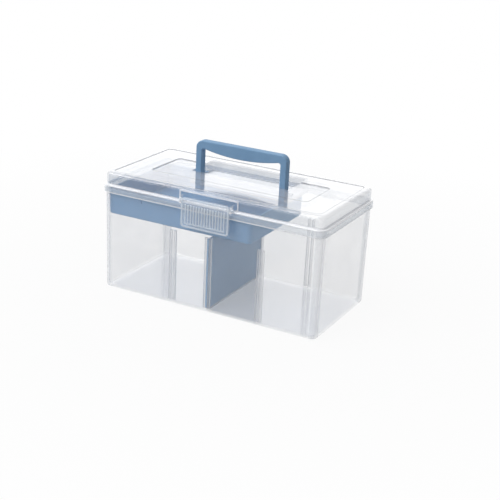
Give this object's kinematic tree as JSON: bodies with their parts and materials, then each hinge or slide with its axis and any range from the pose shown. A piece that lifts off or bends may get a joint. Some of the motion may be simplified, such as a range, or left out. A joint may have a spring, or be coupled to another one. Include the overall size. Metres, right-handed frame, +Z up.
{
  "type": "clear storage box",
  "caption": "Clear plastic carrying box with a hinged lid, a front latch, a folding handle, a sliding tray and a divider for sorting craft supplies and small parts.",
  "frame": {"origin": "centre of the flat base, on the surface the box stands on", "axes": "+X along the box to the right as seen from the front, +Y from the latch to the hinges, +Z up"},
  "size_m": [0.29, 0.1576, 0.1818],
  "materials": {
    "clear_body": "clear moulded plastic, slightly frosted",
    "clear_lid": "clear moulded plastic, glossy",
    "clear_latch": "clear moulded plastic, glossy",
    "blue_handle": "grey blue moulded plastic, satin",
    "blue_tray": "grey blue moulded plastic, satin",
    "blue_divider": "grey blue moulded plastic, satin",
    "pin_steel": "plain steel wire"
  },
  "bodies": {
    "box": {"box_body": "clear_body", "hinge_pin_left": "pin_steel", "hinge_pin_right": "pin_steel"},
    "lid": {"lid": "clear_lid"},
    "latch": {"latch": "clear_latch"},
    "handle": {"handle": "blue_handle"},
    "tray": {"tray": "blue_tray"},
    "divider": {"divider": "blue_divider"}
  },
  "joints": [
    {"name": "lid_hinge", "type": "hinge", "parent": "box", "child": "lid", "pos_m": [0, 0.0764, 0.1192], "axis": [-1, 0, 0], "range_deg": [0, 105]},
    {"name": "latch_flip", "type": "hinge", "parent": "lid", "child": "latch", "pos_m": [0, -0.0741, 0.1333], "axis": [-1, 0, 0], "range_deg": [0, 110]},
    {"name": "handle_fold", "type": "hinge", "parent": "lid", "child": "handle", "pos_m": [0, 0.006, 0.1358], "axis": [-1, 0, 0], "range_deg": [0, 90]},
    {"name": "tray_slide", "type": "slide", "parent": "box", "child": "tray", "axis": [1, 0, 0], "range_m": [0, 0.084]},
    {"name": "divider_lift", "type": "slide", "parent": "box", "child": "divider", "axis": [0, 0, 1], "range_m": [0, 0.003]}
  ]
}
